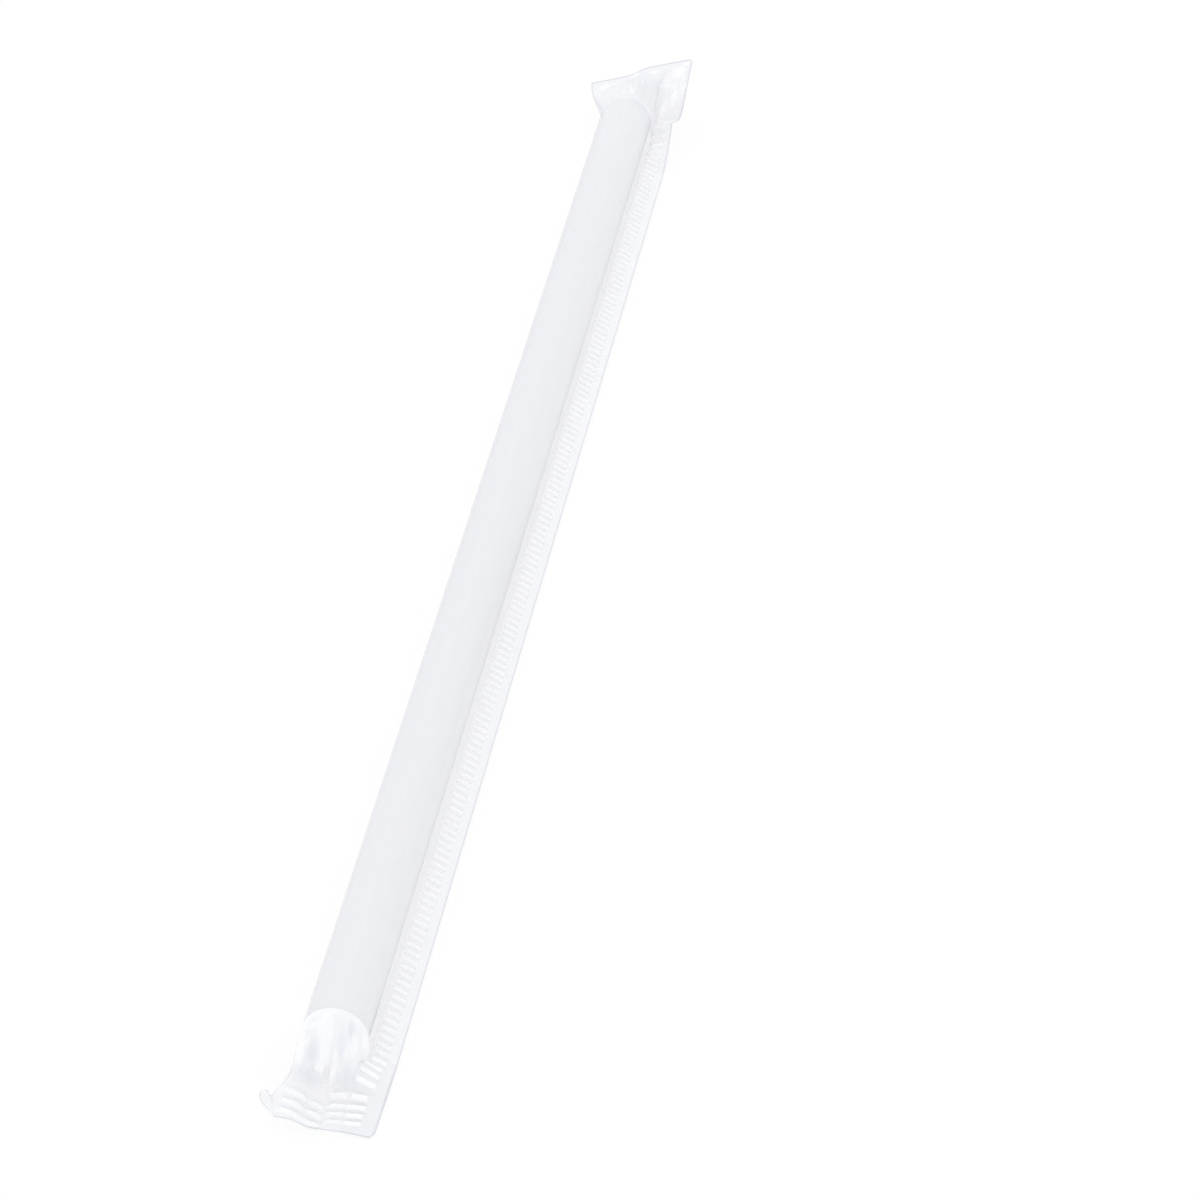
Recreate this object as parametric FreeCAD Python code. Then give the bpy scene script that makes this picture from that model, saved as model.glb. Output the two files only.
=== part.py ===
# A drinking straw sealed in its clear film wrapper, lying on a flat surface.
# Millimetres.  The straw lies along X, the ribbed side seal is on the -Y side,
# +Z is up, and the near end (-X) is the end that lies flat.
import FreeCAD, Part
import math
import os

os.makedirs("parts", exist_ok=True)
V = FreeCAD.Vector

# the straw: one extruded tube, open from end to end
straw_length = 197.0
straw_diameter = 6.2
straw_wall = 0.18

# the film: one sheet folded round the straw
film = 0.1
film_clearance = 0.08
straw_lift = 0.03

# the web, where the two layers leave the straw at a tangent and close up
web_half_angle = 33.0
web_end_wall = 0.3

# the side seal, two layers thick, drooping until its edge meets the floor
seal_reach = 6.6
seal_root = 3.6
rib_pitch = 1.27
rib_height = 0.1
rib_band_start = 3.85
rib_band_end = 5.65
rib_margin = 0.8

# the end flaps
flap_length = 10.95
tube_start = 0.3
tube_lap = 0.3
tube_slack = 0.05
far_web_setback = 1.2
void_end = 4.6
tube_end = 5.1
crimp_start = 4.4
crimp_pitch = 1.5
crimp_height = 0.15
crimp_count = 4
crimp_first = 4.9
corner_cut = 0.5

# how far the flattened film spreads, measured across from the straw's axis
near_fold_spread = 4.75
near_seal_spread = 5.7
far_fold_spread = 5.85
far_seal_spread = 6.85

# the near flap drops to the floor; its free corner stands up like a dog-ear
near_drop_length = 7.5
near_tilt = 0.12
near_crease_at = 1.7
near_crease_rise = 0.5
near_crease_width = 0.75
corner_curl_rise = 2.3
corner_curl_width = 1.2
corner_curl_length = 3.0

# the far flap is bent up towards its seal side
far_rise = 1.55
far_tilt = 0.275
far_crease_step = 0.35
far_crease_at = -0.1
far_turn_length = 3.4
far_seal_turn = 2.4

# lengthwise wrinkles where the film closes down past the straw's ends
near_wrinkle = 0.4
far_wrinkle = 0.12
wrinkle_waves = 6
loop_sides = 24
tube_stations = 7
crimp_columns = 13

straw_radius = straw_diameter / 2
inner_radius = straw_radius + film_clearance
outer_radius = inner_radius + film
middle_radius = inner_radius + film / 2
seal_angle = math.asin(outer_radius / math.hypot(seal_reach, film)) - math.atan(film / seal_reach)
half_straw = straw_length / 2
flat_ratio = math.pi / 2


def smooth(t):
    """Goes from 0 to 1 with level ends."""
    t = min(max(t, 0.0), 1.0)
    return t * t * (3 - 2 * t)


def mix(a, b, t):
    return a + (b - a) * t


def sealed_point(x, out, up):
    """A point on the side seal: distance out from the axis, and height off its middle."""
    y = -(out * math.cos(seal_angle) + up * math.sin(seal_angle))
    z = outer_radius - out * math.sin(seal_angle) + up * math.cos(seal_angle)
    return V(x, y, z)


def around(x, radius, turn):
    """A point at an angle from the side seal, seen round the sleeve's axis."""
    angle = seal_angle + turn
    y = -radius * math.cos(angle)
    return V(x, y, outer_radius - radius * math.sin(angle))


def sleeve(radius, x0, x1):
    """The drop-shaped section round the straw, with its point at the side seal."""
    half = math.radians(web_half_angle)
    start = around(x0, radius, half)
    back = around(x0, radius, math.pi)
    end = around(x0, radius, -half)
    point = around(x0, radius / math.cos(half), 0)
    edges = [
        Part.Arc(start, back, end).toShape(),
        Part.makeLine(end, point),
        Part.makeLine(point, start),
    ]
    return Part.Face(Part.Wire(edges)).extrude(V(x1 - x0, 0, 0))


def barrel(radius, x0, x1):
    centre = V(x0, 0, outer_radius)
    return Part.makeCylinder(radius, x1 - x0, centre, V(1, 0, 0))


def slab(x0, x1, out0, out1):
    """A flat piece of the side seal, two films thick."""
    corners = [
        sealed_point(x0, out0, -film),
        sealed_point(x1, out0, -film),
        sealed_point(x1, out0, film),
        sealed_point(x0, out0, film),
    ]
    wire = Part.makePolygon(corners + corners[:1])
    run = sealed_point(0, out1, 0) - sealed_point(0, out0, 0)
    return Part.Face(wire).extrude(run)


def ribbed_band(x0, x1):
    """The cross-ribbed strip of the side seal: both layers pressed into one zigzag."""
    count = int((x1 - x0 - 2 * rib_margin) / rib_pitch)
    first = (x0 + x1 - count * rib_pitch) / 2
    middle = [(x0, 0.0), (first, 0.0)]
    for i in range(count):
        side = first + i * rib_pitch
        middle.append((side + rib_pitch / 4, rib_height))
        middle.append((side + 3 * rib_pitch / 4, -rib_height))
    middle.append((first + count * rib_pitch, 0.0))
    middle.append((x1, 0.0))
    lower = [sealed_point(x, rib_band_start, h - film) for x, h in middle]
    upper = [sealed_point(x, rib_band_start, h + film) for x, h in reversed(middle)]
    wire = Part.makePolygon(lower + upper + lower[:1])
    run = sealed_point(0, rib_band_end, 0) - sealed_point(0, rib_band_start, 0)
    return Part.Face(wire).extrude(run)


def near_surface(u, w):
    """Height of the near flap's middle, u past the straw and w towards the seal."""
    fall = smooth((u - tube_start) / (near_drop_length - tube_start))
    fall = max(fall, smooth((w - outer_radius) / (near_seal_spread - outer_radius)))
    crease = near_crease_rise * math.exp(-(((w - near_crease_at) / near_crease_width) ** 2))
    low = film + near_tilt * (near_seal_spread - w) + crease
    curl_start = near_fold_spread - corner_curl_width
    curl = smooth((-w - curl_start) / corner_curl_width)
    curl = curl * smooth((u - flap_length + corner_curl_length) / corner_curl_length)
    return mix(outer_radius, low, fall) + corner_curl_rise * curl


def far_surface(u, w):
    """Height of the far flap's middle: it is bent up towards the seal side."""
    turn = smooth((u - tube_start) / far_turn_length)
    step = far_crease_step * math.tanh(w - far_crease_at)
    return outer_radius + turn * (far_rise + far_tilt * w + step)


class Flap:
    """One end flap: the film closes from a tube to a flat, cross-ribbed seal."""

    def __init__(self, side, surface, fold_spread, seal_spread, wrinkle, turn_start, turn_length):
        self.side = side
        self.surface = surface
        self.fold_spread = fold_spread
        self.seal_spread = seal_spread
        self.wrinkle = wrinkle
        self.turn_start = turn_start
        self.turn_length = turn_length

    def place(self, u, w, up):
        return V(self.side * (half_straw + u), -w, self.surface(u, w) + up)

    def closing(self, u):
        return smooth((u - tube_start) / (tube_end - tube_start))

    def fold_edge(self, u):
        return mix(middle_radius + tube_slack, self.fold_spread, smooth(u / flap_length))

    def tube_size(self, u):
        """Half width, half height and middle of the closing tube."""
        t = self.closing(u)
        high = mix(middle_radius + tube_slack, film / 2, t)
        seal = mix(middle_radius + tube_slack, self.seal_spread - seal_reach + outer_radius, t)
        fold = self.fold_edge(u)
        return (fold + seal) / 2, high, (seal - fold) / 2

    def loop(self, u, grow):
        """The closed outline of the tube, grown out or in from the film's middle."""
        wide, high, middle = self.tube_size(u)
        swell = math.sin(math.pi * self.closing(u))
        points = []
        for i in range(loop_sides):
            angle = 2 * math.pi * i / loop_sides
            ripple = self.wrinkle * swell * math.cos(wrinkle_waves * angle + u)
            w = middle + (wide + grow) * math.cos(angle)
            up = (high + grow) * math.sin(angle) + ripple * abs(math.sin(angle))
            points.append(self.place(u, w, up))
        return Part.makePolygon(points + points[:1])

    def tube(self, grow, first, last):
        loops = [self.loop(first, grow)]
        for i in range(1, tube_stations):
            u = mix(tube_start, last, i / (tube_stations - 1))
            loops.append(self.loop(u, grow))
        return Part.makeLoft(loops, True, False)

    def strip_section(self, u):
        """The side seal's section, from the tube's wall out to its free edge."""
        turn = smooth((u - self.turn_start) / self.turn_length)
        droop = -seal_angle * (1 - turn)
        wide, high, middle = self.tube_size(u)
        root_w = middle + wide * math.cos(droop)
        root = self.place(u, root_w, high * math.sin(droop))
        edge_w = mix(seal_reach * math.cos(seal_angle), self.seal_spread, turn)
        edge = self.place(u, edge_w, 0)
        edge.z = mix(sealed_point(0, seal_reach, 0).z, edge.z, turn)
        across = (edge - root).normalize()
        square = V(0, across.z, -across.y) * film
        root = root - across * film
        ring = [root - square, edge - square, edge + square, root + square]
        return Part.makePolygon(ring + ring[:1])

    def strip(self):
        sections = []
        for i in range(tube_stations):
            u = mix(self.turn_start, tube_end, i / (tube_stations - 1))
            sections.append(self.strip_section(u))
        return Part.makeLoft(sections, True, True)

    def crimp_section(self, u, rise):
        """The end seal's section at u, lifted by a rib except near its two edges."""
        cut = corner_cut * smooth((u - flap_length + corner_cut) / corner_cut)
        under = []
        over = []
        for i in range(crimp_columns):
            share = i / (crimp_columns - 1)
            ribbed = smooth(share / 0.1) * smooth((0.88 - share) / 0.12)
            w = mix(-self.fold_edge(u), self.seal_spread - cut, share)
            under.append(self.place(u, w, rise * ribbed - film))
            over.append(self.place(u, w, rise * ribbed + film))
        over.reverse()
        return Part.makePolygon(under + over + under[:1])

    def crimp(self):
        """The flat end seal with its cross ribs, following the flap's bends."""
        sections = [self.crimp_section(crimp_start, 0), self.crimp_section(crimp_first, 0)]
        for k in range(crimp_count):
            start = crimp_first + k * crimp_pitch
            sections.append(self.crimp_section(start + crimp_pitch / 4, crimp_height))
            sections.append(self.crimp_section(start + 3 * crimp_pitch / 4, -crimp_height))
        sections.append(self.crimp_section(flap_length, 0))
        return Part.makeLoft(sections, True, True)


near_end = -(half_straw + tube_start)
far_end = half_straw + tube_start
far_web_end = half_straw - far_web_setback

near = Flap(
    -1, near_surface, near_fold_spread, near_seal_spread, near_wrinkle, tube_start, tube_end
)
far = Flap(
    1, far_surface, far_fold_spread, far_seal_spread, far_wrinkle, -far_web_setback, far_seal_turn
)

straw_centre = V(-half_straw, 0, film + straw_lift + straw_radius)
straw = Part.makeCylinder(straw_radius, straw_length, straw_centre, V(1, 0, 0))
bore = Part.makeCylinder(straw_radius - straw_wall, straw_length, straw_centre, V(1, 0, 0))
straw = straw.cut(bore)

skin = sleeve(outer_radius, near_end, far_web_end)
skin = skin.fuse(barrel(outer_radius, far_web_end, far_end))
skin = skin.fuse(slab(near_end, far_web_end, seal_root, rib_band_start))
skin = skin.fuse(ribbed_band(near_end, far_web_end))
skin = skin.fuse(slab(near_end, far_web_end, rib_band_end, seal_reach))
hollow = sleeve(inner_radius, near_end + web_end_wall, far_web_end - web_end_wall)
hollow = hollow.fuse(barrel(inner_radius, near_end, far_end))
for flap in (near, far):
    skin = skin.fuse(flap.tube(film / 2, tube_start - tube_lap, tube_end))
    skin = skin.fuse(flap.strip())
    skin = skin.fuse(flap.crimp())
    hollow = hollow.fuse(flap.tube(-film / 2, tube_start, void_end))
wrapper = skin.cut(hollow).removeSplitter()

nodes = {"straw": straw, "wrapper": wrapper}

# the frame: centred over the resting surface, which is z = 0
points = wrapper.tessellate(0.02)[0]
middle_x = (min(p.x for p in points) + max(p.x for p in points)) / 2
middle_y = (min(p.y for p in points) + max(p.y for p in points)) / 2
shift = V(-middle_x, -middle_y, -min(p.z for p in points))
for name, shape in nodes.items():
    shape.translate(shift)
    shape.exportStep("parts/" + name + ".step")
    print(name, shape.isValid(), len(shape.Solids), round(shape.Volume, 2))
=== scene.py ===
from types import SimpleNamespace

import bpy
import numpy as np
from mathutils import Matrix, Vector


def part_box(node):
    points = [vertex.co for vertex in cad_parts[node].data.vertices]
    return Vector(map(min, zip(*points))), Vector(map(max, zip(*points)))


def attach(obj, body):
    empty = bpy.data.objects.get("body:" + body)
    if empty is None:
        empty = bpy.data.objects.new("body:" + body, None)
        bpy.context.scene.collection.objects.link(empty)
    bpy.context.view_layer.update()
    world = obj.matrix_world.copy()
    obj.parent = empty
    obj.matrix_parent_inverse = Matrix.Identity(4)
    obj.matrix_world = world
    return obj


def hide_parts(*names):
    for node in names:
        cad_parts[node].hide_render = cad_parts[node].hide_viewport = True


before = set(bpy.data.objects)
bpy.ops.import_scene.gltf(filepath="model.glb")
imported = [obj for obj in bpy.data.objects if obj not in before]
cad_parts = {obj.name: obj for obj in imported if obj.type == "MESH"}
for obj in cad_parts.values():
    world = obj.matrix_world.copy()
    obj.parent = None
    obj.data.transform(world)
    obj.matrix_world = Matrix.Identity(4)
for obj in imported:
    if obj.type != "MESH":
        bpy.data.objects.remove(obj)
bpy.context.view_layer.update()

MM = 0.001

# the wrapper's sizes in millimetres, as in the solid model
FILM = 0.1
STRAW_LIFT = 0.03
INNER_RADIUS = 3.18
OUTER_RADIUS = INNER_RADIUS + FILM
MIDDLE_RADIUS = INNER_RADIUS + FILM / 2
WEB_HALF_ANGLE = np.radians(33.0)
SEAL_REACH = 6.6
SEAL_ANGLE = np.arcsin(OUTER_RADIUS / np.hypot(SEAL_REACH, FILM)) - np.arctan(FILM / SEAL_REACH)
RIB_PITCH = 1.27
RIB_HEIGHT = 0.1
RIB_BAND = (3.95, 5.65)
FLAP_LENGTH = 10.95
TUBE_START = 0.3

# where the two layers meet, out from the straw's axis
SEAL_POINT = MIDDLE_RADIUS / np.cos(WEB_HALF_ANGLE)
# the lengthwise crease of the near flap, and its rows of crimps
CREASE_AT = 0.5
CRIMP_HEIGHT = 0.16
LAST_ROW = 10.5
# the near flap's side seal lies flat from here out
NEAR_SEAL = 5.7
# how far before the straw's two rims the flaps' own form starts
NEAR_FORM_START = 0.4
FAR_FORM_START = 8.0
# half the gap between two pressed layers, and between the closed tube's
LAYER_GAP = 0.01
CLOSED_GAP = 0.02

# the way round a layer: 0 at the fold, this where the side seal starts, 1 at its free edge
SEAL_Q = 0.75
# the last part of the sleeve, a flat web beside the straw
WEB_Q = 0.62
# the lower layer of the film is made clearer than the upper one, with less painted highlight, so that its shade
# shows less
UNDER_SHARE = 0.35

straw_low, straw_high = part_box("straw")
HALF_STRAW = (straw_high.x - straw_low.x) / 2 / MM
AXIS_Y = (straw_high.y + straw_low.y) / 2 / MM
AXIS_Z = straw_low.z / MM - FILM - STRAW_LIFT + OUTER_RADIUS


def smooth(t):
    """0 up to t = 0, 1 from t = 1, and a soft rise between."""
    t = np.clip(t, 0.0, 1.0)
    return t * t * (3 - 2 * t)


def mix(a, b, t):
    return a + (b - a) * t


def bump(t):
    """Rises from 0 at the ends of 0..1 to 1 in the middle."""
    return np.sin(np.pi * np.clip(t, 0, 1)) ** 2


def hill(distance, width):
    """1 where the distance is 0, and softly less on either side."""
    return np.exp(-((distance / width) ** 2))


def rounded_line(at, where, values, soft=0.2):
    """A line through the given places, with its corners rounded."""
    steps = (-soft, -soft / 3, soft / 3, soft)
    return sum(np.interp(at + step, where, values) for step in steps) / 4


# how far the folded side stands out, along the near flap and its small turned-up corner
NEAR_FOLD_AT = [0.3, 1.7, 2.8, 3.8, 4.8, 5.6, 6.7, 7.8, 8.15, 8.45, 8.8, 9.4, 9.8, 10.3, 10.95]
NEAR_FOLD_OUT = [3.23, 3.30, 3.31, 3.30, 3.46, 3.74, 4.19, 4.66, 4.74, 5.40, 5.52, 5.34, 4.85, 4.15, 3.70]
FAR_FOLD_AT = [0.8, 1.7, 2.8, 4.1, 5.7, 7.4, 9.2, 10.95]
FAR_FOLD_OUT = [3.23, 3.42, 3.92, 4.38, 4.92, 5.38, 5.75, 6.00]

# the free edge of the side seal, out from the axis and up from the floor
NEAR_EDGE_AT = [-2.0, 0.3, 5.0, 9.0, 10.2, 10.7, 10.95]
NEAR_EDGE_OUT = [5.776, 5.776, 5.71, 5.62, 5.56, 5.42, 5.10]
NEAR_EDGE_UP = [0.087, 0.087, 0.06, 0.06, 0.05, 0.05, 0.05]
FAR_EDGE_AT = [-9.0, -6.5, -4.0, -2.0, -0.9, 0.0, 0.35, 0.75, 1.2, 1.7, 2.3, 3.3, 4.6, 6.0, 9.3, 10.4, 10.8, 10.95]
FAR_EDGE_OUT = [
    5.776, 5.78, 5.80, 5.86, 5.86, 5.78, 5.95, 6.48, 6.76, 7.05, 7.14, 7.18, 7.17, 7.14, 7.08, 6.95, 6.70, 6.45,
]
FAR_EDGE_UP = [0.087, 0.25, 1.1, 2.4, 3.1, 3.25, 3.2, 3.2, 3.7, 5.1, 5.85, 6.4, 6.72, 6.9, 7.1, 7.05, 7.0, 6.95]

# the height of the near end's cut edge across the flap
NEAR_CUT_AT = [-5.4, -3.6, -2.1, -0.9, 0.0, 2.4, 4.2, 5.0, 5.7]
NEAR_CUT_UP = [1.60, 1.55, 1.36, 0.74, 0.56, 0.46, 0.30, 0.14, 0.08]

# soft folds in the two layers of each flap: where across, lean, width, height, start, end
NEAR_TOP = [
    (-0.50, 0.05, 0.80, 0.34, -0.4, 4.2),
    (-0.45, 0.00, 0.28, 0.20, 0.7, 3.4),
    (-1.00, -1.20, 0.26, 0.34, 0.5, 2.3),
    (-2.60, -0.05, 0.42, 0.34, 2.0, 4.8),
    (-0.65, 0.08, 0.26, 0.30, 2.6, 5.2),
    (0.45, 0.00, 0.24, 0.26, 3.2, 6.0),
    (1.95, 0.10, 0.22, 0.30, 0.4, 3.0),
    (3.10, 0.16, 0.34, 0.40, -0.4, 4.0),
    (4.10, 0.05, 0.40, 0.26, 0.2, 3.2),
]
NEAR_BOTTOM = [
    (-1.9, 0.10, 0.5, 0.30, 0.8, 6.0),
    (-0.2, -0.10, 0.4, -0.25, 0.8, 6.0),
    (1.4, 0.05, 0.5, 0.30, 0.6, 6.0),
]
FAR_TOP = [
    (-4.2, 0.05, 0.7, 0.22, 5.5, 10.8),
    (-0.3, 0.03, 0.5, 0.30, 7.0, 11.2),
    (2.4, 0.05, 0.6, 0.32, 5.6, 10.0),
    (5.7, 0.05, 1.1, 0.36, 5.0, 10.6),
    (5.4, 0.05, 0.5, 0.34, 1.0, 4.0),
    (4.0, 0.08, 0.45, 0.36, -0.4, 3.2),
    (6.3, 0.05, 0.3, 0.26, 2.0, 9.8),
]
FAR_BOTTOM = [
    (-1.6, 0.05, 0.6, 0.22, 1.0, 8.0),
    (1.0, 0.05, 0.5, -0.22, 1.0, 8.0),
    (3.4, 0.10, 0.5, 0.22, 0.6, 5.0),
]

# painted highlight (+) and painted shade (-) patches: where along, where across, length, width, strength
FAR_PATCHES = [
    (9.2, -0.2, 0.9, 0.6, 0.9),
    (8.3, 2.3, 0.9, 0.7, 0.9),
    (7.2, 5.6, 1.2, 0.9, 0.9),
    (2.4, 5.4, 1.0, 0.7, 0.85),
    (1.4, 4.2, 0.9, 0.7, 0.7),
    (9.7, 6.4, 0.8, 0.5, 0.7),
    (7.9, -3.9, 1.0, 0.7, 0.75),
    (8.3, -2.4, 0.5, 0.4, 0.6),
    (5.2, 4.4, 0.8, 0.6, 0.45),
    (5.4, 6.4, 0.9, 0.4, 0.5),
    (7.9, 3.9, 0.8, 0.5, -0.5),
    (4.3, 3.4, 1.1, 0.8, -0.6),
    (3.3, 5.0, 0.5, 0.7, -0.4),
    (0.9, 5.0, 0.5, 0.8, -0.7),
    (4.6, 1.1, 2.4, 1.5, -0.8),
    (1.5, 1.8, 1.4, 1.2, -0.7),
    (-1.2, 5.0, 1.6, 0.7, 0.8),
    (6.4, -3.6, 1.6, 1.0, 0.3),
    (9.0, 1.0, 0.8, 0.4, -0.5),
    (4.6, 6.2, 0.5, 0.6, -0.3),
]
NEAR_PATCHES = [
    (1.9, -0.5, 1.2, 0.5, 0.8),
    (1.6, -1.9, 0.28, 0.75, 0.7),
    (2.6, -2.15, 0.3, 0.3, 0.6),
    (3.3, -0.15, 0.6, 0.3, 0.6),
    (2.1, 2.45, 0.6, 0.22, 0.6),
    (4.0, -0.8, 0.45, 0.45, 0.7),
    (4.1, 0.6, 0.8, 0.2, 0.65),
    (1.3, 3.1, 0.7, 0.4, 0.6),
    (2.95, -2.85, 0.3, 0.25, 0.6),
    (3.8, -2.6, 0.35, 0.3, 0.55),
    (3.2, -1.6, 0.7, 0.5, -0.7),
    (1.5, 1.9, 0.6, 0.35, -0.7),
    (2.7, 1.1, 0.9, 0.35, -0.4),
    (3.6, 1.4, 0.5, 0.45, -0.6),
    (5.0, -1.7, 0.75, 1.3, -0.8),
    (4.7, 2.1, 1.0, 0.9, -0.6),
]

# In what follows u is the distance past the straw's rim, and w the distance from the
# straw's axis towards the side seal.


def near_height(u, w):
    """The near flap falls to its cut edge, and the corner on its folded side stands up."""
    fall = smooth((u - TUBE_START) / 7.2)
    fall = np.maximum(fall, smooth((w - OUTER_RADIUS) / (NEAR_SEAL - OUTER_RADIUS)))
    cut_edge = rounded_line(w, NEAR_CUT_AT, NEAR_CUT_UP)
    corner_fold = -4.45 + 0.30 * (u - 7.7)
    corner_lift = 0.95 * (1 - smooth((u - 8.5) / 1.9)) * smooth((u - 7.75) / 0.6)
    return mix(OUTER_RADIUS, cut_edge, fall) + corner_lift * smooth((corner_fold - w) / 0.7)


def far_height(u, w):
    """The far flap rises towards the side seal, with an uneven step across it."""
    length = 3.5 + 0.5 * np.sin(1.7 * w) + 0.3 * np.sin(4.1 * w + 1) + 1.2 * smooth(w - 2.3)
    turn = smooth((u - TUBE_START) / length)
    slope = 1.55 + 0.275 * w
    step = 0.35 * np.tanh(w + 0.1)
    return OUTER_RADIUS + turn * (slope + step)


def soft_folds(u, w, folds):
    total = np.zeros(np.broadcast(u, w).shape)
    for across, lean, width, height, start, end in folds:
        line = across + lean * (u - start)
        total = total + height * hill(w - line, width) * bump((u - start) / (end - start))
    return total


def patches(u, w, places, sharpness):
    total = np.zeros(np.broadcast(u, w).shape)
    for along, across, length, width, strength in places:
        away = ((u - along) / length) ** 2 + ((w - across) / width) ** 2
        total = total + strength * np.exp(-(away**sharpness))
    return total


def side_ribs(x, out):
    """The side seal's cross ribs, x along the pack and out from the sleeve's axis."""
    fade = 0.15
    band = smooth((out - RIB_BAND[0]) / fade) * smooth((RIB_BAND[1] - out) / fade)
    return RIB_HEIGHT * np.sin(2 * np.pi * x / RIB_PITCH) * band


def crimp_wave(u, w):
    """The near seal's rows, 1 on a crest, and how strongly they are pressed. They lean both
    ways from the crease, and the sides differ in pitch, number and place of the last row."""
    from_crease = w - CREASE_AT
    lean = np.where(w > CREASE_AT, 0.12, 0.20) * (np.hypot(from_crease, 0.25) - 0.25)
    pitch = mix(1.5, 1.22, smooth((from_crease + 0.8) / 1.2))
    last = mix(LAST_ROW, LAST_ROW - 0.8, smooth((from_crease + 0.25) / 0.5))
    behind = (last - lean - u) / pitch
    wave = np.cos(2 * np.pi * behind)
    rows_here = mix(2.6, 3.62, smooth((from_crease + 0.5) / 0.8))
    band = smooth((rows_here - behind) / 0.25) * smooth((behind + 0.42) / 0.2)
    band = band * smooth((w + 3.9) / 0.7) * smooth((4.35 - w) / 0.5)
    row = np.round(behind)
    broken = 1 - 0.75 * hill(from_crease - 0.08 * (u - 8), 0.32)
    broken = broken - 0.7 * hill(w - 2.45, 0.28) * (row != 2)
    broken = broken - 0.6 * hill(w + 1.25, 0.35) * (row > 0)
    uneven = 0.85 + 0.15 * np.sin(2.3 * w + 2.1 * row + 1.0)
    return wave, band * broken * uneven


def seal_highlight(ribs):
    """The seal is painted a little white all over, painted light that lifts its shade, and whiter on its rib
    crests, a painted highlight.
    """
    return 0.2 + 0.75 * smooth((ribs + 0.02) / (0.7 * RIB_HEIGHT))


def free_edge(out):
    """1 along the cut edge of the side seal."""
    return smooth((out - 0.93) / 0.05)


def sleeve(share, layer):
    """The drop-shaped section, from the fold (0) to the point at the side seal (1)."""
    arc_length = MIDDLE_RADIUS * (np.pi + layer * SEAL_ANGLE - WEB_HALF_ANGLE)
    line_length = MIDDLE_RADIUS * np.tan(WEB_HALF_ANGLE)
    along = share * (arc_length + line_length)
    angle = layer * (np.pi - np.minimum(along, arc_length) / MIDDLE_RADIUS)
    touch = -SEAL_ANGLE + layer * WEB_HALF_ANGLE
    over = np.clip((along - arc_length) / line_length, 0, 1)
    line_w = mix(MIDDLE_RADIUS * np.cos(touch), SEAL_POINT * np.cos(SEAL_ANGLE), over)
    line_up = mix(MIDDLE_RADIUS * np.sin(touch), -SEAL_POINT * np.sin(SEAL_ANGLE), over)
    on_line = over > 0
    w = np.where(on_line, line_w, MIDDLE_RADIUS * np.cos(angle))
    up = np.where(on_line, line_up, MIDDLE_RADIUS * np.sin(angle))
    return w, up


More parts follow.
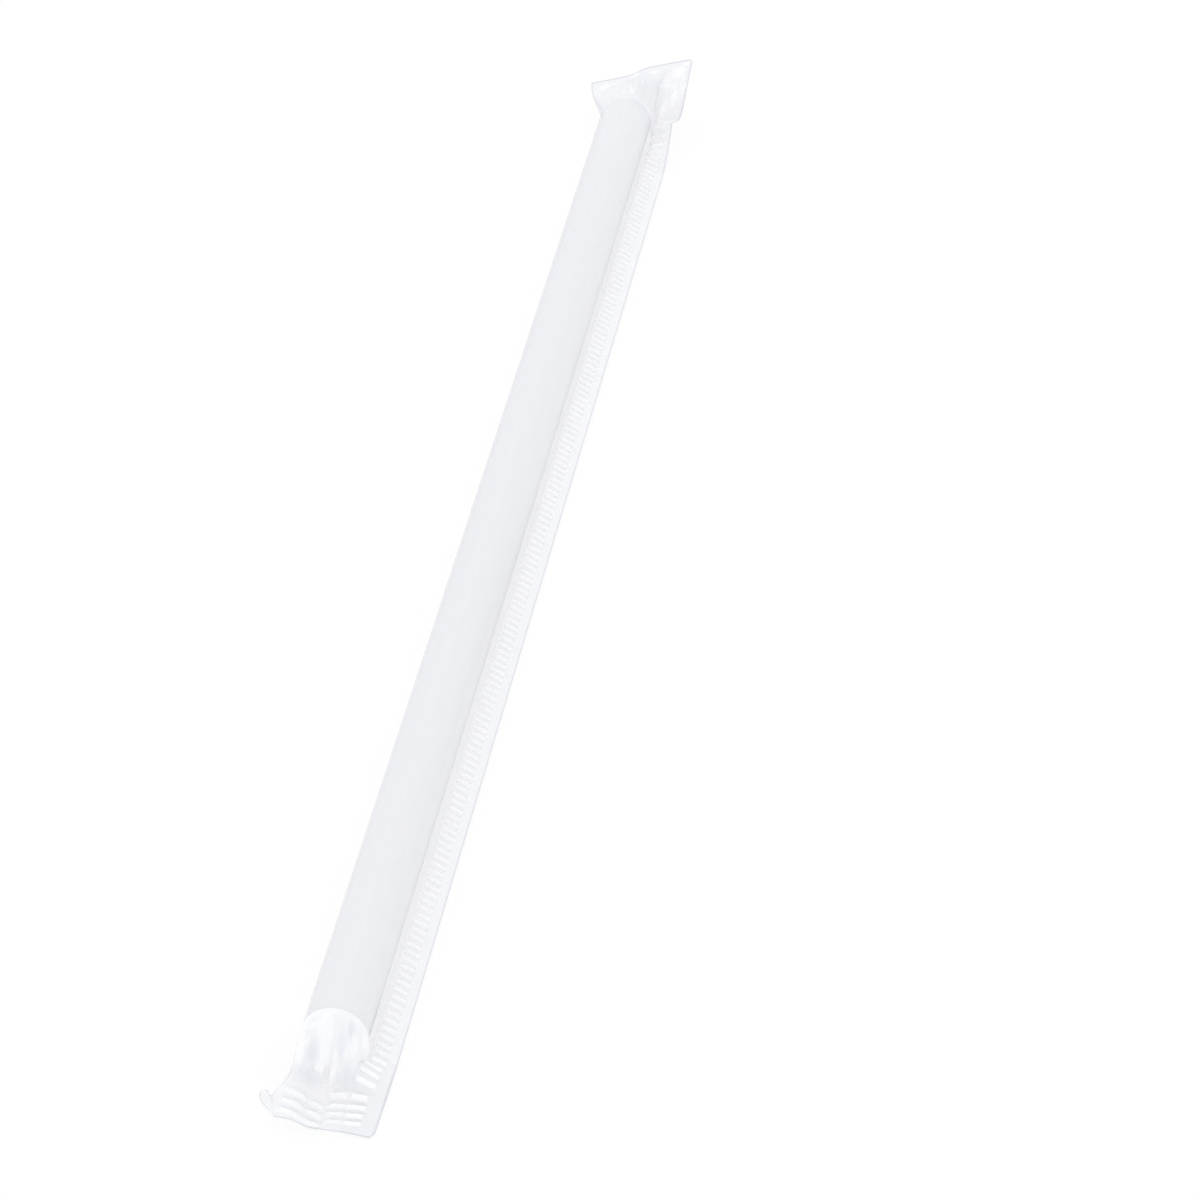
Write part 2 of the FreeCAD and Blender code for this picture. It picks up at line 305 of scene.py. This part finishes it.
class Flap:
    """One end of the wrapper, from just before the straw's rim to the cut edge."""

    def form(self, u, q, layer):
        """The film's place, and the parts of its form that its look follows."""
        closed = np.clip((u - TUBE_START) / self.closing_length, 0, 1)
        closed = mix(smooth(closed), closed, self.closing_evenness)
        turn = smooth((u - self.turn_start) / self.turn_length)
        droop = -SEAL_ANGLE * (1 - turn)
        edge_at, edge_out, edge_up = self.edge
        edge_w = rounded_line(u, edge_at, edge_out)
        edge_z = rounded_line(u, edge_at, edge_up)

        # the tube's section goes from the sleeve's drop to a flat ellipse
        middle_edge = rounded_line(FLAP_LENGTH / 2, edge_at, edge_out)
        seal_side = mix(MIDDLE_RADIUS, middle_edge - SEAL_REACH + OUTER_RADIUS, closed)
        fold_side = rounded_line(u, *self.fold)
        wide, middle = (fold_side + seal_side) / 2, (seal_side - fold_side) / 2
        high = mix(MIDDLE_RADIUS, CLOSED_GAP, closed)
        round_share = np.clip(q / SEAL_Q, 0, 1)
        angle = layer * mix(np.pi, layer * droop, round_share)
        drop_w, drop_up = sleeve(round_share, layer)
        drop_share = 1 - smooth((u - self.turn_start) / 1.6)
        w = mix(middle + wide * np.cos(angle), drop_w, drop_share)
        up = mix(high * np.sin(angle), drop_up, drop_share)
        swell = smooth((u - self.turn_start) / 1.2)
        folds = soft_folds(u, w, self.folds[0 if layer > 0 else 1]) * (swell * np.abs(np.sin(angle)) ** 0.5)
        z = self.height(u, w) + up + folds

        # the side seal runs straight from the tube to its free edge
        root_w = mix(middle + wide * np.cos(droop), SEAL_POINT * np.cos(SEAL_ANGLE), drop_share)
        root_up = mix(high * np.sin(droop), -SEAL_POINT * np.sin(SEAL_ANGLE), drop_share)
        root_z = self.height(u, root_w) + root_up
        out = np.clip((q - SEAL_Q) / (1 - SEAL_Q), 0, 1)
        on_seal = q > SEAL_Q
        w = np.where(on_seal, mix(root_w, edge_w, out), w)
        z = np.where(on_seal, mix(root_z, edge_z, out), z)

        ribbed = 1 - smooth((u - self.ribs_end) / 0.8)
        ribs = side_ribs(self.side * (HALF_STRAW + u), mix(SEAL_POINT, SEAL_REACH, out)) * ribbed
        rise = np.where(on_seal, ribs + layer * LAYER_GAP, 0)
        wave, band = crimp_wave(u, w)
        band = band * self.crimp_share
        z = z + rise * np.cos(droop) + np.where(on_seal, 0, layer * LAYER_GAP) + CRIMP_HEIGHT * wave * band
        inside_seal = smooth(out / 0.2) * smooth((1 - out) / 0.2)
        loose = np.where(on_seal, inside_seal * swell * self.raised, 0)
        z = z + loose * soft_folds(u, w, self.folds[0])
        w = w - rise * np.sin(droop)
        return SimpleNamespace(
            w=w, z=z, out=out, on_seal=on_seal, folds=folds, ribs=ribs, ribbed=ribbed, wave=wave, band=band
        )

    def looks(self, u, q, layer, form):
        """The painted highlight, the milkiness with its painted light and shade, the grey of cut edges with the
        painted shade of furrows, fold and patches, and the painted highlight streaks of crumpled film.
        """
        upper = layer > 0
        layer_share = 1.0 if upper else UNDER_SHARE
        on_seal, wave, band, w = form.on_seal, form.wave, form.band, form.w
        past_rim = smooth((u + 0.02) / 0.25)
        # the web beside the straw, before its rim, is painted white and milky: painted light that lifts its shade
        web = smooth((q - WEB_Q) / 0.04) * (1 - past_rim) * upper
        # painted highlight and painted shade patches; the shade patches also take the highlight away
        patches_from, patches_fade = self.patches_start
        patchy = patches(u, w, self.patches, self.patch_sharpness) * upper
        patchy = patchy * smooth((u - patches_from) / patches_fade)
        patch_shade = np.maximum(-patchy, 0)
        outside_patch_shade = np.clip(1 - patch_shade, 0, 1)
        # painted light: the film is made clearer in the corner between the straw's far rim and the side seal, so
        # that the raised flap's shadow shows less there
        shadow_lift = smooth((4.6 - w) / 0.6) * smooth((w - 3.3) / 0.2) * bump((u + 3.4) / 4.2) * self.raised
        # the film over the straw's mouth is made milky and painted white, a painted highlight that also stands in
        # for light inside the mouth
        over_mouth = past_rim * (1 - smooth((u - 2.4) / 3.2)) * upper * self.veil

        # painted highlights: white on the seal's ribs, the fold crests, the crimp rows and the bright patches
        rib_highlight = seal_highlight(form.ribs) * (0.2 + 0.8 * form.ribbed)
        fold_highlight = smooth(form.folds / 0.36) * 0.9
        row_highlight = smooth((wave + 0.75) / 0.9) * band * mix(0.82, 1, smooth((w - CREASE_AT) / 2))
        painted_highlight = np.maximum(np.where(on_seal, rib_highlight, fold_highlight), row_highlight)
        painted_highlight = np.maximum(painted_highlight, patchy) * outside_patch_shade * layer_share * (1 - 0.7 * shadow_lift)
        painted_highlight = np.maximum(painted_highlight, 0.28 * over_mouth * outside_patch_shade)
        painted_highlight = np.maximum(painted_highlight, np.where(on_seal, 0, 0.25 * web))

        seal_milk = mix(0.2, self.seal_milk, past_rim) * layer_share
        tube_milk = mix(0.03, self.tube_milk * layer_share, past_rim) + 0.9 * over_mouth
        milk_and_painted_light = np.where(on_seal, seal_milk, tube_milk)
        # the shade patches add painted shade, the web painted light, and the corner is cleared to lift its shadow
        milk_and_painted_light = (milk_and_painted_light + 0.3 * patch_shade + np.where(on_seal, 0, 0.15 * web)) * (1 - 0.6 * shadow_lift)
        # painted shade: a grey line along the tube's fold side past the straw's rim
        outline_shade = 0.6 * smooth((0.078 - q) / 0.045) * past_rim
        milk_and_painted_light = milk_and_painted_light + 0.3 * outline_shade

        # painted shade: grey lines in the furrows between the crimp rows
        furrow_shade = 0.6 * smooth((-0.8 - wave) / 0.15) * band
        edge_and_shade = smooth((u - FLAP_LENGTH + self.cut_width) / 0.12) + np.where(on_seal, free_edge(form.out), 0)
        edge_and_shade = np.clip(np.maximum(edge_and_shade, np.maximum(furrow_shade, outline_shade)) + 0.3 * patch_shade, 0, 1)

        # painted highlight streaks on the crumpled film over the straw's mouth
        crumple_highlight = past_rim * (1 - smooth((u - 3.5) / 2)) * smooth(q / 0.06)
        crumple_highlight = crumple_highlight * upper * (q < SEAL_Q) * self.veil
        return painted_highlight, milk_and_painted_light, edge_and_shade, crumple_highlight

    def points(self, u, q, layer):
        """The film's points and looks, for its upper (1) or lower (-1) layer."""
        u, q = np.broadcast_arrays(u, q)
        form = self.form(u, q, layer)
        x = self.side * (HALF_STRAW + u)
        return x, AXIS_Y - form.w, AXIS_Z - OUTER_RADIUS + form.z, *self.looks(u, q, layer, form)


class NearFlap(Flap):
    """It falls to the floor, has the crimped rows, and veils the straw's mouth."""

    side = -1
    height = staticmethod(near_height)
    fold = (NEAR_FOLD_AT, NEAR_FOLD_OUT)
    edge = (NEAR_EDGE_AT, NEAR_EDGE_OUT, NEAR_EDGE_UP)
    folds = (NEAR_TOP, NEAR_BOTTOM)
    patches = NEAR_PATCHES
    patches_start = (-0.02, 0.25)
    patch_sharpness = 2
    turn_start = TUBE_START
    turn_length = 4.8
    closing_length = 4.8
    closing_evenness = 0.0
    ribs_end = 4.4
    crimp_share = 1.0
    veil = 1.0
    raised = 0.0
    seal_milk = 0.44
    tube_milk = 0.27
    cut_width = 0.22


class FarFlap(Flap):
    """It is bent up, nearly plain, and clear enough to show the straw's rim."""

    side = 1
    height = staticmethod(far_height)
    fold = (FAR_FOLD_AT, FAR_FOLD_OUT)
    edge = (FAR_EDGE_AT, FAR_EDGE_OUT, FAR_EDGE_UP)
    folds = (FAR_TOP, FAR_BOTTOM)
    patches = FAR_PATCHES
    patches_start = (-6.0, 2.0)
    patch_sharpness = 1
    turn_start = -1.2
    turn_length = 2.4
    closing_length = 9.4
    closing_evenness = 0.5
    ribs_end = -0.4
    crimp_share = 0.15
    veil = 0.0
    raised = 1.0
    seal_milk = 0.38
    tube_milk = 0.4
    cut_width = 0.36


def body_points(x, q, layer):
    """The straight part of the wrapper, for the same q as the flaps."""
    x, q = np.broadcast_arrays(x, q)
    w, up = sleeve(np.clip(q / SEAL_Q, 0, 1), layer)
    out = np.clip((q - SEAL_Q) / (1 - SEAL_Q), 0, 1)
    reach = mix(SEAL_POINT, SEAL_REACH, out)
    rise = side_ribs(x, reach) + layer * LAYER_GAP
    seal_w = reach * np.cos(SEAL_ANGLE) + rise * np.sin(SEAL_ANGLE)
    seal_up = -reach * np.sin(SEAL_ANGLE) + rise * np.cos(SEAL_ANGLE)
    on_seal = q > SEAL_Q
    w = np.where(on_seal, seal_w, w)
    up = np.where(on_seal, seal_up, up)

    upper = layer > 0
    layer_share = 1.0 if upper else UNDER_SHARE
    # painted light: the web beside the straw is painted white and milky towards the ends, with painted highlight
    # streaks
    web = smooth((q - WEB_Q) / 0.04) * upper
    near_ends = smooth((np.abs(x) - HALF_STRAW + 14) / 13)
    # the seal's painted highlight grows towards the far end
    whiter = 0.14 * smooth((x + 60) / 130)
    painted_highlight = np.where(on_seal, (seal_highlight(rise) + whiter) * layer_share, 0.25 * near_ends * web)
    milk_and_painted_light = np.where(on_seal, 0.2 * layer_share, 0.03 + mix(0.05, 0.2, near_ends) * web)
    edge_and_shade = np.where(on_seal, free_edge(out), 0)
    crumple_highlight = np.where(on_seal, 0, 0.3 * web)
    return x, AXIS_Y - w, AXIS_Z + up, painted_highlight, milk_and_painted_light, edge_and_shade, crumple_highlight


def add_grid(points, faces, looks, x, y, z, *values):
    """Adds a grid of quads, and the values that its look needs, to the lists."""
    rows, columns = x.shape
    start = sum(len(p) for p in points)
    points.append(np.stack([x, y, z], -1).reshape(-1, 3) * MM)
    looks.append(np.stack([np.broadcast_to(v, x.shape) for v in values], -1).reshape(-1, len(values)))
    index = np.arange(rows * columns).reshape(rows, columns) + start
    quads = np.stack([index[:-1, :-1], index[1:, :-1], index[1:, 1:], index[:-1, 1:]], -1)
    faces.append(quads.reshape(-1, 4))


def ways_round(tube_columns, seal_columns):
    """q over the tube, and q over the side seal, which starts just past the tube's end."""
    tube = np.linspace(0, SEAL_Q, tube_columns)
    seal = np.append(SEAL_Q + 0.0001, np.linspace(SEAL_Q, 1.0, seal_columns)[1:])
    return tube, seal


def build_film():
    points, faces, looks = [], [], []
    body_tube, body_seal = ways_round(64, 16)
    flap_round = np.concatenate(ways_round(70, 24))
    body_start, body_end = -HALF_STRAW + NEAR_FORM_START, HALF_STRAW - FAR_FORM_START
    grids = [
        (body_points, np.linspace(body_start, body_end, 60), body_tube),
        (body_points, np.linspace(body_start, body_end, 1180), body_seal),
        (NearFlap().points, np.linspace(-NEAR_FORM_START, FLAP_LENGTH, 104), flap_round),
        (FarFlap().points, np.linspace(-FAR_FORM_START, FLAP_LENGTH, 170), flap_round),
    ]
    for layer in (1, -1):
        for surface, along, q in grids:
            add_grid(points, faces, looks, *surface(along[:, None], q[None, :], layer))
    mesh = bpy.data.meshes.new("film_wrapper")
    mesh.from_pydata(np.concatenate(points).tolist(), [], np.concatenate(faces).tolist())
    mesh.update()
    mesh.shade_smooth()
    looks = np.concatenate(looks).astype(np.float32)
    for column, name in enumerate(("painted_highlight", "milk_and_painted_light", "edge_and_shade", "crumple_highlight")):
        mesh.attributes.new(name, "FLOAT", "POINT").data.foreach_set("value", looks[:, column].copy())
    return add_piece("film_wrapper", mesh)


def add_piece(name, data):
    piece = bpy.data.objects.new(name, data)
    bpy.context.scene.collection.objects.link(piece)
    return piece


class Look:
    """A material, and short ways to add the nodes that the looks below need."""

    def __init__(self, name):
        self.material = bpy.data.materials.new(name)
        self.material.use_nodes = True
        self.nodes = self.material.node_tree.nodes
        self.links = self.material.node_tree.links
        self.shader = self.nodes["Principled BSDF"]
        self.place = self.nodes.new("ShaderNodeTexCoord").outputs["Object"]

    def attribute(self, name):
        node = self.nodes.new("ShaderNodeAttribute")
        node.attribute_name = name
        return node.outputs["Fac"]

    def stretched(self, scale):
        node = self.nodes.new("ShaderNodeMapping")
        node.inputs["Scale"].default_value = scale
        self.links.new(self.place, node.inputs["Vector"])
        return node.outputs["Vector"]

    def noise(self, vector, scale, detail):
        node = self.nodes.new("ShaderNodeTexNoise")
        node.inputs["Scale"].default_value = scale
        node.inputs["Detail"].default_value = detail
        self.links.new(vector, node.inputs["Vector"])
        return node.outputs["Fac"]

    def spread(self, value, low, high, to_low=0.0, to_high=1.0):
        node = self.nodes.new("ShaderNodeMapRange")
        node.inputs["From Min"].default_value = low
        node.inputs["From Max"].default_value = high
        node.inputs["To Min"].default_value = to_low
        node.inputs["To Max"].default_value = to_high
        self.links.new(value, node.inputs["Value"])
        return node.outputs["Result"]

    def combine(self, operation, first, second, third=None, clamp=False):
        node = self.nodes.new("ShaderNodeMath")
        node.operation = operation
        node.use_clamp = clamp
        for socket, value in zip(node.inputs, (first, second, third)):
            if isinstance(value, (int, float)):
                socket.default_value = value
            elif value is not None:
                self.links.new(value, socket)
        return node.outputs["Value"]

    def add_share(self, value, share, total):
        return self.combine("MULTIPLY_ADD", value, share, total, clamp=True)

    def ramp(self, value, low, low_color, high, high_color):
        node = self.nodes.new("ShaderNodeValToRGB")
        first, last = node.color_ramp.elements
        first.position = low
        first.color = low_color
        last.position = high
        last.color = high_color
        self.links.new(value, node.inputs["Fac"])
        return node.outputs["Color"]

    def mix_shaders(self, share, first, second):
        """Shows the first shader where the share is 0, and the second where it is 1."""
        node = self.nodes.new("ShaderNodeMixShader")
        self.links.new(share, node.inputs["Fac"])
        self.links.new(first, node.inputs[1])
        self.links.new(second, node.inputs[2])
        self.links.new(node.outputs["Shader"], self.nodes["Material Output"].inputs["Surface"])

    def seen_directly(self):
        """1 where the eye, a gloss or glass sees the surface, 0 for the light it gives."""
        rays = self.nodes.new("ShaderNodeLightPath").outputs
        seen = self.combine("MAXIMUM", rays["Is Camera Ray"], rays["Is Glossy Ray"])
        return self.combine("MAXIMUM", seen, rays["Is Transmission Ray"])


def film_material():
    """Clear film: nearly see-through, faintly milky where it is loose, painted white as highlights where
    it is pressed or folded, with grey-blue cut edges and painted shade in furrows, along the fold and in patches."""
    look = Look("clear_film")
    nodes, links, shader = look.nodes, look.links, look.shader
    shader.inputs["Roughness"].default_value = 0.32
    shader.inputs["IOR"].default_value = 2.2
    edge_and_shade = look.attribute("edge_and_shade")

    # painted highlight streaks on the crumpled film, added to the painted highlight that whitens the film
    streaks = look.spread(look.noise(look.stretched((170, 800, 450)), 1, 2), 0.5, 0.66)
    streaks = look.combine("MULTIPLY", streaks, look.attribute("crumple_highlight"))
    white = look.add_share(streaks, 0.45, look.attribute("painted_highlight"))

    # grey-blue at the cut edges, and painted shade in the crimp furrows, along the fold and in the shade patches
    edge_and_shade_color = nodes.new("ShaderNodeMix")
    edge_and_shade_color.data_type = "RGBA"
    links.new(edge_and_shade, edge_and_shade_color.inputs["Factor"])
    links.new(look.ramp(white, 0.0, (0.84, 0.85, 0.902, 1), 0.6, (0.962, 0.968, 0.99, 1)), edge_and_shade_color.inputs["A"])
    edge_and_shade_color.inputs["B"].default_value = (0.58, 0.61, 0.68, 1)
    links.new(edge_and_shade_color.outputs["Result"], shader.inputs["Base Color"])

    edge = nodes.new("ShaderNodeLayerWeight")
    edge.inputs["Blend"].default_value = 0.15
    facing = edge.outputs["Facing"]
    clear = nodes.new("ShaderNodeBsdfTransparent")
    depth = look.ramp(facing, 0.34, (0.985, 0.985, 0.99, 1), 0.62, (0.9, 0.905, 0.925, 1))
    links.new(depth, clear.inputs["Color"])

    uneven = look.spread(look.noise(look.place, 450, 2), 0.35, 0.68, 0.85, 1.15)
    solid = look.combine("MULTIPLY", look.attribute("milk_and_painted_light"), uneven)
    solid = look.add_share(facing, 0.12, solid)
    solid = look.add_share(white, 0.72, solid)
    solid = look.add_share(edge_and_shade, 0.25, solid)
    look.mix_shaders(solid, clear.outputs["BSDF"], shader.outputs["BSDF"])

    dent = nodes.new("ShaderNodeBump")
    dent.inputs["Strength"].default_value = 0.15
    dent.inputs["Distance"].default_value = 0.0002
    links.new(look.noise(look.place, 700, 1), dent.inputs["Height"])
    links.new(dent.outputs["Normal"], shader.inputs["Normal"])
    return look.material


def straw_material():
    """Milky plastic with a thin wall that lets light through."""
    look = Look("milky_straw")
    streaks = look.noise(look.stretched((6, 500, 500)), 1, 2)
    tint = look.ramp(streaks, 0.35, (0.94, 0.946, 0.975, 1), 0.65, (0.955, 0.96, 0.985, 1))
    look.links.new(tint, look.shader.inputs["Base Color"])
    look.shader.inputs["Roughness"].default_value = 0.38
    look.shader.inputs["IOR"].default_value = 1.49
    look.shader.inputs["Alpha"].default_value = 0.88
    return look.material


def floor_material():
    """White floor that shows as white paper, and keeps a faint shadow."""
    look = Look("white_floor")
    look.shader.inputs["Base Color"].default_value = (1, 1, 1, 1)
    look.shader.inputs["Roughness"].default_value = 0.9
    look.shader.inputs["Specular IOR Level"].default_value = 0.0
    white = look.nodes.new("ShaderNodeEmission")
    share = look.combine("MULTIPLY", look.seen_directly(), 0.85)
    look.mix_shaders(share, look.shader.outputs["BSDF"], white.outputs["Emission"])
    return look.material


film = build_film()
film.data.materials.append(film_material())
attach(film, "root")
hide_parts("wrapper")

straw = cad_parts["straw"]
straw_look = straw_material()
for slot in straw.material_slots:
    slot.material = straw_look

FLOOR_HALF = 2
floor_mesh = bpy.data.meshes.new("floor")
floor_corners = [(FLOOR_HALF * x, FLOOR_HALF * y, 0) for x, y in ((-1, -1), (1, -1), (1, 1), (-1, 1))]
floor_mesh.from_pydata(floor_corners, [], [(0, 1, 2, 3)])
floor_mesh.materials.append(floor_material())
floor = add_piece("floor", floor_mesh)

# soft studio light from all round, with one small lamp behind that glints on the film
scene = bpy.context.scene
world = bpy.data.worlds.new("studio")
scene.world = world
world.use_nodes = True
sky = world.node_tree.nodes["Background"]
sky.inputs["Color"].default_value = (1, 1, 1, 1)
sky.inputs["Strength"].default_value = 1.0

lamp = bpy.data.lights.new("key", "AREA")
lamp.energy = 0.9
lamp.size = 0.25
lamp_at = Vector((0.65, 0.25, 1.1))
lamp_holder = add_piece("key", lamp)
lamp_holder.location = lamp_at
lamp_holder.rotation_euler = (-lamp_at).to_track_quat("-Z", "Y").to_euler()

# the camera, at the photograph's view
CAMERA_RIGHT = Vector((0.142615, -0.989778, 0.000371))
CAMERA_UP = Vector((0.511955, 0.074087, 0.855811))
CAMERA_FORWARD = Vector((0.847091, 0.121862, -0.517288))
camera_data = bpy.data.cameras.new("camera")
camera_data.sensor_width = 36
camera_data.lens = 159
camera_data.clip_start = 0.01
camera_data.clip_end = 10
camera = add_piece("camera", camera_data)
camera_turn = Matrix((CAMERA_RIGHT, CAMERA_UP, -CAMERA_FORWARD)).transposed()
camera_at = Vector((-494.57, AXIS_Y - 82.02, AXIS_Z - 3.3 + 295.01)) * MM
camera.matrix_world = Matrix.Translation(camera_at) @ camera_turn.to_4x4()
scene.camera = camera

scene.view_settings.view_transform = "Standard"
